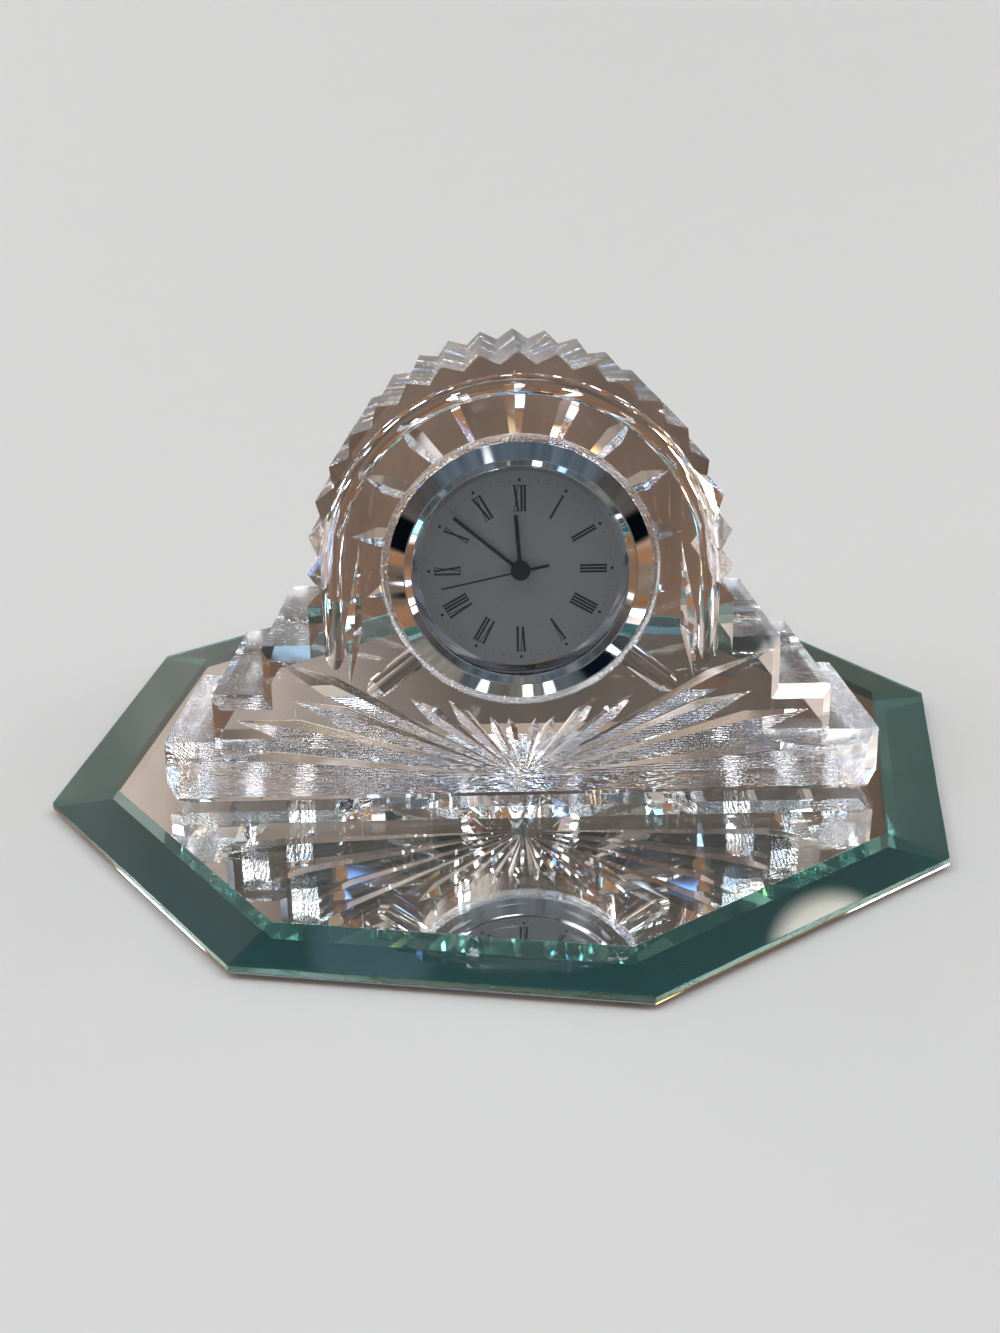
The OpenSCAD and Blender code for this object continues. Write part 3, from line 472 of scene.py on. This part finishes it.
class CLOCK_OT_print(bpy.types.Operator):
    """The numerals and the ring of dots printed on the dial"""
    bl_idname = "clock.print"
    bl_label = "Dial printing"

    def execute(self, context):
        look = context.scene.clock_look
        stroke = self.stroke()
        dot = self.dot()
        marks = []
        for hour, letters in enumerate(NUMERALS):
            turn = Matrix.Rotation(-math.radians(30 * hour), 4, "Z")
            for shape in self.numeral(letters, look):
                marks.append(self.stamp(stroke, turn @ shape))
        for minute in range(60):
            size = look.hour_dot if minute % 5 == 0 else look.minute_dot
            turn = Matrix.Rotation(-math.radians(6 * minute), 4, "Z")
            marks.append(self.stamp(dot, turn @ Matrix.Translation((0, look.track_radius, 0))
                                    @ Matrix.Diagonal((size, size, PRINT_T, 1))))
        for pattern in (stroke, dot):
            bpy.data.objects.remove(pattern)
        deselect()
        for mark in marks:
            mark.select_set(True)
        context.view_layer.objects.active = marks[0]
        bpy.ops.object.join()
        ink = context.active_object
        ink.name = "dial_print"
        ink.data.transform(face_matrix(DIAL_DEPTH))
        ink.data.materials.append(self.printed_black())
        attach(ink, "insert")
        return {"FINISHED"}

    def printed_black(self):
        """Ink from a printing pad: dull black, a little thinner in specks."""
        black, tree, surface, where = new_finish("pad-printed ink", Roughness=0.55)
        specks = add_node(tree, "ShaderNodeTexNoise", {"Vector": where, "Scale": per_mm(0.4), "Detail": 3.0})
        show(tree, surface, specks.outputs[0], colours=((0.3, "#0F1012"), (0.8, "#1E2024")))
        return black

    def stroke(self):
        """A bar 1 wide, 1 high and 1 thick, standing on the x axis."""
        deselect()
        bpy.ops.mesh.primitive_plane_add(size=1.0, location=(0, 0, 0))
        bar = bpy.context.active_object
        bpy.ops.object.mode_set(mode="EDIT")
        bpy.ops.mesh.select_all(action="SELECT")
        bpy.ops.mesh.extrude_region_move(TRANSFORM_OT_translate={"value": (0, 0, 1)})
        bpy.ops.mesh.select_all(action="SELECT")
        bpy.ops.mesh.normals_make_consistent(inside=False)
        bpy.ops.object.mode_set(mode="OBJECT")
        bar.data.transform(Matrix.Translation((0, 0.5, 0)))
        return bar

    def dot(self):
        """A disc of radius 1 and thickness 1."""
        deselect()
        bpy.ops.mesh.primitive_circle_add(vertices=20, radius=1.0, fill_type="NGON", location=(0, 0, 0))
        disc = bpy.context.active_object
        bpy.ops.object.mode_set(mode="EDIT")
        bpy.ops.mesh.select_all(action="SELECT")
        bpy.ops.mesh.extrude_region_move(TRANSFORM_OT_translate={"value": (0, 0, 1)})
        bpy.ops.mesh.select_all(action="SELECT")
        bpy.ops.mesh.normals_make_consistent(inside=False)
        bpy.ops.object.mode_set(mode="OBJECT")
        return disc

    def stamp(self, pattern, place):
        """A copy of a pattern with its own mesh, put in place."""
        copy = pattern.copy()
        copy.data = pattern.data.copy()
        copy.data.transform(place)
        bpy.context.scene.collection.objects.link(copy)
        return copy

    def numeral(self, letters, look):
        """The strokes of one numeral, each as the matrix that turns the unit bar into it."""
        thin, serif = look.stroke * 0.4, look.stroke * 0.3
        bars, feet, cursor = [], [], 0.0
        for letter in letters:
            wide = look.stroke if letter == "I" else look.pitch * 1.85
            left, right = cursor + look.stroke / 2, cursor + wide - look.stroke / 2
            if letter == "I":
                bars.append((left, left, look.stroke))
            elif letter == "V":
                middle = (left + right) / 2
                bars += [(middle, left, look.stroke), (middle, right, thin)]
            else:
                bars += [(right, left, look.stroke), (left, right, thin)]
            if letter != "V":
                feet.append((cursor, cursor + wide))
            cursor += wide + look.pitch - look.stroke
        total = cursor - look.pitch + look.stroke
        shapes = []
        for foot, top, wide in bars:
            lean = Matrix.Identity(4)
            lean[0][0], lean[0][1], lean[0][3] = wide, top - foot, foot - total / 2
            lean[1][1], lean[1][3] = look.numeral_height, look.numeral_foot
            lean[2][2] = PRINT_T
            shapes.append(lean)
        lines = [(0.0, total, look.numeral_foot + look.numeral_height - serif)]
        lines += [(a, b, look.numeral_foot) for a, b in feet]
        for a, b, y in lines:
            shapes.append(Matrix.Translation(((a + b - total) / 2, y, 0))
                          @ Matrix.Diagonal((b - a + 2 * serif, serif, PRINT_T, 1)))
        return shapes


class CLOCK_OT_insert(bpy.types.Operator):
    """Chrome, lens, dial and hands of the insert"""
    bl_idname = "clock.insert"
    bl_label = "Insert"

    def execute(self, context):
        chrome = self.chrome()
        self.bezel(chrome)
        give(chrome, "dial_ring")
        give(self.mineral_glass(), "lens")
        give(self.silvered(), "dial")
        give(self.lacquer(), "hour_hand", "minute_hand", "second_hand")
        return {"FINISHED"}

    def bezel(self, chrome):
        """The bezel ring: a wide outer facet rising from the rim to the crest, and a short one down to the lens."""
        deselect()
        bpy.ops.mesh.primitive_circle_add(vertices=len(BEZEL_SECTION), location=(0, 0, 0))
        ring = bpy.context.active_object
        ring.name = "bezel_ring"
        for vertex, (radius, height) in zip(ring.data.vertices, BEZEL_SECTION):
            vertex.co = (radius * MM, 0, height * MM)
        bpy.ops.object.mode_set(mode="EDIT")
        bpy.ops.mesh.select_all(action="SELECT")
        bpy.ops.mesh.spin(steps=BEZEL_STEPS, angle=2 * math.pi, center=(0, 0, 0), axis=(0, 0, 1))
        bpy.ops.mesh.select_all(action="SELECT")
        bpy.ops.mesh.remove_doubles(threshold=0.001 * MM)
        bpy.ops.mesh.normals_make_consistent(inside=False)
        bpy.ops.object.mode_set(mode="OBJECT")
        ring.data.transform(face_matrix(0.0))
        soften(ring, BEZEL_EDGE, angle=12.0, smooth=9.0)
        ring.data.materials.append(chrome)
        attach(ring, "insert")
        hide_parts("bezel")

    def chrome(self):
        """Decorative chrome plate, polished to a mirror with a trace of haze."""
        chrome, tree, surface, where = new_finish("polished chrome", Metallic=1.0)
        surface.inputs["Base Color"].default_value = linear("#D9DBE0")
        haze = add_node(tree, "ShaderNodeTexNoise", {"Vector": where, "Scale": per_mm(4), "Detail": 3.0})
        show(tree, surface, haze.outputs[0], roughness=(0.01, 0.05))
        return chrome

    def mineral_glass(self):
        """Flat mineral glass, all but unseen; shadows and soft light pass straight through it."""
        lens, tree, surface, where = new_finish(
            "mineral glass", **{"Roughness": 0.0, "IOR": LENS_IOR, "Transmission Weight": 1.0})
        through = add_node(tree, "ShaderNodeLightPath")
        open_way = add_node(tree, "ShaderNodeMath", {0: through.outputs["Is Shadow Ray"],
                                                     1: through.outputs["Is Diffuse Ray"]}, operation="MAXIMUM")
        clear = add_node(tree, "ShaderNodeBsdfTransparent")
        both = add_node(tree, "ShaderNodeMixShader", {0: open_way.outputs[0], 1: surface.outputs[0],
                                                      2: clear.outputs[0]})
        out = next(n for n in tree.nodes if n.type == "OUTPUT_MATERIAL")
        tree.links.new(both.outputs[0], out.inputs["Surface"])
        return lens

    def silvered(self):
        """Satin silvered brass: a soft grey sheen with the finest grain."""
        silvered, tree, surface, where = new_finish("satin silvered dial", Metallic=0.35, Roughness=0.42)
        shades = add_node(tree, "ShaderNodeTexNoise", {"Vector": where, "Scale": per_mm(0.3), "Detail": 4.0})
        show(tree, surface, shades.outputs[0], colours=((0.3, "#9FA0A1"), (0.7, "#A9AAAB")))
        grain = add_node(tree, "ShaderNodeTexNoise", {"Vector": where, "Scale": per_mm(0.25), "Detail": 2.0})
        show(tree, surface, grain.outputs[0], relief_mm=0.004)
        return silvered

    def lacquer(self):
        """Black stove lacquer on stamped hands: deep and half glossy, a little uneven."""
        black, tree, surface, where = new_finish("black lacquer", Metallic=0.0)
        shades = add_node(tree, "ShaderNodeTexNoise", {"Vector": where, "Scale": per_mm(1.0), "Detail": 3.0})
        show(tree, surface, shades.outputs[0], colours=((0.3, "#101114"), (0.8, "#1B1C20")))
        gloss = add_node(tree, "ShaderNodeTexNoise", {"Vector": where, "Scale": per_mm(0.6), "Detail": 3.0})
        show(tree, surface, gloss.outputs[0], roughness=(0.3, 0.42))
        return black


class CLOCK_OT_movement(bpy.types.Operator):
    """Finishes of the movement and the case"""
    bl_idname = "clock.movement"
    bl_label = "Movement"

    def execute(self, context):
        give(self.turned("turned stainless steel", "#B9BABC", "#CDCED0", 0.28), "case_cup", "battery", "quartz_can")
        give(self.turned("fine-turned brass", "#B98F3E", "#D6B264", 0.3), "main_plate", "hour_wheel",
             "cannon_pinion", "minute_wheel", "fourth_wheel", "third_wheel", "centre_wheel", "fifth_wheel",
             "battery_contacts")
        give(self.stamped("stamped steel", "#8F9195", "#A6A8AC"), "train_bridge", "stator", "coil_core",
             "bridge_screws")
        give(self.moulded("moulded black ABS", "#17181A", "#222427", 0.45), "rear_cover", "battery_hatch",
             "setting_knob")
        give(self.moulded("moulded nylon", "#DAD8CF", "#E8E6DE", 0.4), "movement_ring", "battery_holder")
        give(self.moulded("nitrile rubber", "#151516", "#202122", 0.7), "seat_gasket", "lens_gasket")
        give(self.moulded("sintered ferrite", "#232427", "#37383C", 0.6), "rotor")
        give(self.moulded("solder-masked board", "#0E4A2A", "#14603A", 0.3), "circuit_board")
        give(self.wound("enamelled copper wire"), "coil")
        return {"FINISHED"}

    def turned(self, name, dark, light, roughness):
        """Metal turned on a lathe: fine rings about the dial's axis catch the light."""
        metal, tree, surface, where = new_finish(name, Metallic=1.0)
        local = add_node(tree, "ShaderNodeVectorMath", {0: where, 1: tuple(FACE_CENTRE)},
                         operation="SUBTRACT").outputs[0]
        off_axis = add_node(tree, "ShaderNodeVectorMath", {0: local, 1: tuple(INWARD)},
                            operation="CROSS_PRODUCT").outputs[0]
        radius = add_node(tree, "ShaderNodeVectorMath", {0: off_axis}, operation="LENGTH").outputs["Value"]
        pitch = add_node(tree, "ShaderNodeMath", {0: radius, 1: per_mm(0.12)}, operation="MULTIPLY").outputs[0]
        rings = add_node(tree, "ShaderNodeTexNoise", {"W": pitch}, noise_dimensions="1D").outputs[0]
        show(tree, surface, rings, colours=((0.3, dark), (0.7, light)),
             roughness=(roughness - 0.06, roughness + 0.1), relief_mm=0.006)
        return metal

    def stamped(self, name, dark, light):
        """Sheet steel, rolled and stamped: faint lines one way and dull patches."""
        metal, tree, surface, where = new_finish(name, Metallic=1.0)
        rolled = add_node(tree, "ShaderNodeMapping", {"Vector": where, "Scale": (300, 4000, 4000)})
        lines = add_node(tree, "ShaderNodeTexNoise", {"Vector": rolled.outputs[0], "Scale": 1.0}).outputs[0]
        show(tree, surface, lines, colours=((0.3, dark), (0.7, light)), relief_mm=0.004)
        dull = add_node(tree, "ShaderNodeTexNoise", {"Vector": where, "Scale": per_mm(3), "Detail": 3.0})
        show(tree, surface, dull.outputs[0], roughness=(0.3, 0.45))
        return metal

    def moulded(self, name, dark, light, roughness):
        """Plastic, rubber or ferrite with the fine even grain that its mould or press leaves."""
        plastic, tree, surface, where = new_finish(name)
        patches = add_node(tree, "ShaderNodeTexNoise", {"Vector": where, "Scale": per_mm(5), "Detail": 3.0})
        show(tree, surface, patches.outputs[0], colours=((0.3, dark), (0.7, light)))
        grain = add_node(tree, "ShaderNodeTexNoise", {"Vector": where, "Scale": per_mm(0.35), "Detail": 2.0})
        show(tree, surface, grain.outputs[0], roughness=(roughness - 0.08, roughness + 0.08), relief_mm=0.01)
        return plastic

    def wound(self, name):
        """Close turns of lacquered wire: fine ridges across the coil, with painted highlights on their crowns and
        painted shade in the grooves between them.
        """
        wire, tree, surface, where = new_finish(name, Metallic=0.9, Roughness=0.3)
        turns_with_painted_shade = add_node(tree, "ShaderNodeTexWave", {"Vector": where, "Scale": per_mm(1.6)}, bands_direction="Z")
        # dark brown between the turns and bright copper on their crowns: painted shade and painted highlight
        show(tree, surface, turns_with_painted_shade.outputs[1], colours=((0.1, "#5A2410"), (0.8, "#C0703C")), relief_mm=0.05)
        return wire


class CLOCK_OT_studio(bpy.types.Operator):
    """Camera, floor and light"""
    bl_idname = "clock.studio"
    bl_label = "Studio"

    def execute(self, context):
        self.camera(context)
        self.floor(context)
        self.surroundings(context)
        return {"FINISHED"}

    def camera(self, context):
        """A camera where the photograph was taken from."""
        yaw, pitch, roll = (math.radians(a) for a in CAMERA_TURN)
        ahead = Vector((math.sin(yaw) * math.cos(pitch), math.cos(yaw) * math.cos(pitch), -math.sin(pitch)))
        right = Vector((math.cos(yaw), -math.sin(yaw), 0))
        up = right.cross(ahead)
        right, up = (math.cos(roll) * right + math.sin(roll) * up,
                     math.cos(roll) * up - math.sin(roll) * right)
        data = bpy.data.cameras.new("camera")
        data.sensor_fit = "VERTICAL"
        data.sensor_height = SENSOR_MM
        data.lens = FOCAL_PX * SENSOR_MM / IMAGE_HEIGHT
        camera = bpy.data.objects.new("camera", data)
        place = Matrix((right, up, -ahead)).transposed().to_4x4()
        place.translation = Vector(CAMERA_PLACE) * MM
        camera.matrix_world = place
        context.scene.collection.objects.link(camera)
        context.scene.camera = camera

    def floor(self, context):
        """A plain pale floor, unseen through and in the clock, which shows the surroundings instead."""
        deselect()
        bpy.ops.mesh.primitive_plane_add(size=FLOOR_SIZE, location=(0, 0, 0))
        floor = context.active_object
        floor.name = "floor"
        paper, tree, surface, where = new_finish("pale floor", Roughness=0.7)
        surface.inputs["Base Color"].default_value = linear(context.scene.clock_studio.floor_colour)
        floor.data.materials.append(paper)
        floor.visible_transmission = False
        floor.visible_glossy = False

    def cone(self, tree, look, azimuth, elevation, radius, soft):
        """1 for directions within the radius of a point on the sky, falling to 0 over the soft edge."""
        a, e = math.radians(azimuth), math.radians(elevation)
        centre = (math.sin(a) * math.cos(e), -math.cos(a) * math.cos(e), math.sin(e))
        near = add_node(tree, "ShaderNodeVectorMath", {0: look, 1: centre},
                        operation="DOT_PRODUCT").outputs["Value"]
        return add_node(tree, "ShaderNodeMapRange",
                        {0: near, 1: math.cos(math.radians(radius + soft)),
                         2: math.cos(math.radians(max(radius - soft, 0.0)))},
                        interpolation_type="SMOOTHSTEP").outputs[0]

    def sparkles(self, tree, look, total, studio):
        """Many small spotlights, white, blue and amber: what makes cut crystal glitter."""
        spots = add_node(tree, "ShaderNodeTexVoronoi", {"Vector": look, "Scale": studio.spot_density,
                                                        "Randomness": 0.85})
        lit = add_node(tree, "ShaderNodeMapRange", {0: spots.outputs["Distance"], 1: 0.36, 2: 0.24},
                       interpolation_type="SMOOTHSTEP").outputs[0]
        for azimuth, elevation, radius in CALM:
            calm = self.cone(tree, look, azimuth, elevation, radius, 2)
            free = add_node(tree, "ShaderNodeMath", {0: 1.0, 1: calm}, operation="SUBTRACT").outputs[0]
            lit = add_node(tree, "ShaderNodeMath", {0: lit, 1: free}, operation="MULTIPLY").outputs[0]
        pick = add_node(tree, "ShaderNodeSeparateXYZ", {0: spots.outputs["Color"]})
        tint = add_node(tree, "ShaderNodeValToRGB", {0: pick.outputs[0]}, stops=(
            (0.0, "#6FA8FF"), (0.2, "#BFE0FF"), (0.35, "#FFFFFF"),
            (0.8, "#FFFFFF"), (0.88, "#FFE6B8"), (1.0, "#FFC065"))).outputs["Color"]
        power = add_node(tree, "ShaderNodeMath", {0: pick.outputs[1], 1: 2.0}, operation="POWER").outputs[0]
        bright = add_node(tree, "ShaderNodeMath", {0: power, 1: studio.spot_strength},
                          operation="MULTIPLY").outputs[0]
        gain = add_node(tree, "ShaderNodeMath", {0: bright, 1: lit}, operation="MULTIPLY").outputs[0]
        glow = add_node(tree, "ShaderNodeVectorMath", {0: tint, "Scale": gain}, operation="SCALE").outputs[0]
        return add_node(tree, "ShaderNodeVectorMath", {0: total, 1: glow}, operation="ADD").outputs[0]

    def surroundings(self, context):
        """A room: brown table below, taupe walls and soft boxes above. Straight from the camera only a plain pale
        backdrop shows."""
        world = bpy.data.worlds.new("room")
        world.use_nodes = True
        tree = world.node_tree
        tree.nodes.clear()
        look = add_node(tree, "ShaderNodeTexCoord").outputs["Generated"]
        height = add_node(tree, "ShaderNodeSeparateXYZ", {0: look}).outputs[2]
        level = add_node(tree, "ShaderNodeMapRange", {0: height, 1: -1.0, 2: 1.0}).outputs[0]
        total = add_node(tree, "ShaderNodeValToRGB", {0: level}, stops=(
            (0.0, "#7A543A"), (0.3, "#AB7C58"), (0.45, "#B48660"), (0.495, "#C9B19B"),
            (0.53, "#6E665F"), (0.7, "#524F4C"), (0.85, "#5A5D5F"), (1.0, "#747B82"))).outputs["Color"]
        for azimuth, elevation, radius, soft, colour, strength in ROOM:
            inside = self.cone(tree, look, azimuth, elevation, radius, soft)
            paint = [c * strength for c in linear(colour)[:3]] + [1.0]
            total = add_node(tree, "ShaderNodeMix", {0: inside, 6: total, 7: paint}, data_type="RGBA").outputs[2]
        # upright streaks make the room uneven, as wood and cloth do
        grain = add_node(tree, "ShaderNodeMapping", {"Vector": look, "Scale": (14, 14, 2.5)})
        streaks = add_node(tree, "ShaderNodeTexNoise", {"Vector": grain.outputs[0], "Scale": 1.0, "Detail": 3.0})
        shade = add_node(tree, "ShaderNodeMapRange", {0: streaks.outputs[0], 1: 0.3, 2: 0.7, 3: 0.6, 4: 1.3})
        total = add_node(tree, "ShaderNodeMix", {0: 1.0, 6: total, 7: shade.outputs[0]}, data_type="RGBA",
                         blend_type="MULTIPLY").outputs[2]
        studio = context.scene.clock_studio
        for azimuth, elevation, radius, share in LAMPS:
            inside = self.cone(tree, look, azimuth, elevation, radius, 1.5)
            paint = [studio.lamp_strength * share] * 3 + [1.0]
            total = add_node(tree, "ShaderNodeMix", {0: inside, 6: total, 7: paint}, data_type="RGBA",
                             blend_type="ADD").outputs[2]
        total = self.sparkles(tree, look, total, studio)
        seen = add_node(tree, "ShaderNodeLightPath").outputs["Is Camera Ray"]
        total = add_node(tree, "ShaderNodeMix", {0: seen, 6: total, 7: linear(studio.backdrop_colour)},
                         data_type="RGBA").outputs[2]
        light = add_node(tree, "ShaderNodeBackground", {"Color": total, "Strength": 1.0})
        add_node(tree, "ShaderNodeOutputWorld", {"Surface": light.outputs[0]})
        context.scene.world = world
        # light turns many times inside cut crystal before it leaves
        settings = context.scene.cycles
        settings.max_bounces = 24
        settings.glossy_bounces = 16
        settings.transmission_bounces = 24
        context.scene.view_settings.view_transform = "Standard"


class CLOCK_PT_panel(bpy.types.Panel):
    """Lists the clock's steps"""
    bl_idname = "CLOCK_PT_panel"
    bl_label = "Crystal Desk Clock"
    bl_space_type = "VIEW_3D"
    bl_region_type = "UI"
    bl_category = "Clock"

    def draw(self, context):
        for step in STEPS:
            self.layout.operator(step.bl_idname)


STEPS = (CLOCK_OT_crystal, CLOCK_OT_plinth, CLOCK_OT_print, CLOCK_OT_insert, CLOCK_OT_movement,
         CLOCK_OT_studio)
GROUPS = (ClockLook, ClockStudio)


def register():
    for cls in GROUPS + STEPS + (CLOCK_PT_panel,):
        bpy.utils.register_class(cls)
    bpy.types.Scene.clock_look = bpy.props.PointerProperty(type=ClockLook)
    bpy.types.Scene.clock_studio = bpy.props.PointerProperty(type=ClockStudio)


def unregister():
    del bpy.types.Scene.clock_studio
    del bpy.types.Scene.clock_look
    for cls in reversed(GROUPS + STEPS + (CLOCK_PT_panel,)):
        bpy.utils.unregister_class(cls)


def main():
    register()
    bpy.ops.clock.crystal()
    bpy.ops.clock.plinth()
    bpy.ops.clock.print()
    bpy.ops.clock.insert()
    bpy.ops.clock.movement()
    bpy.ops.clock.studio()


if __name__ == "__main__":
    main()
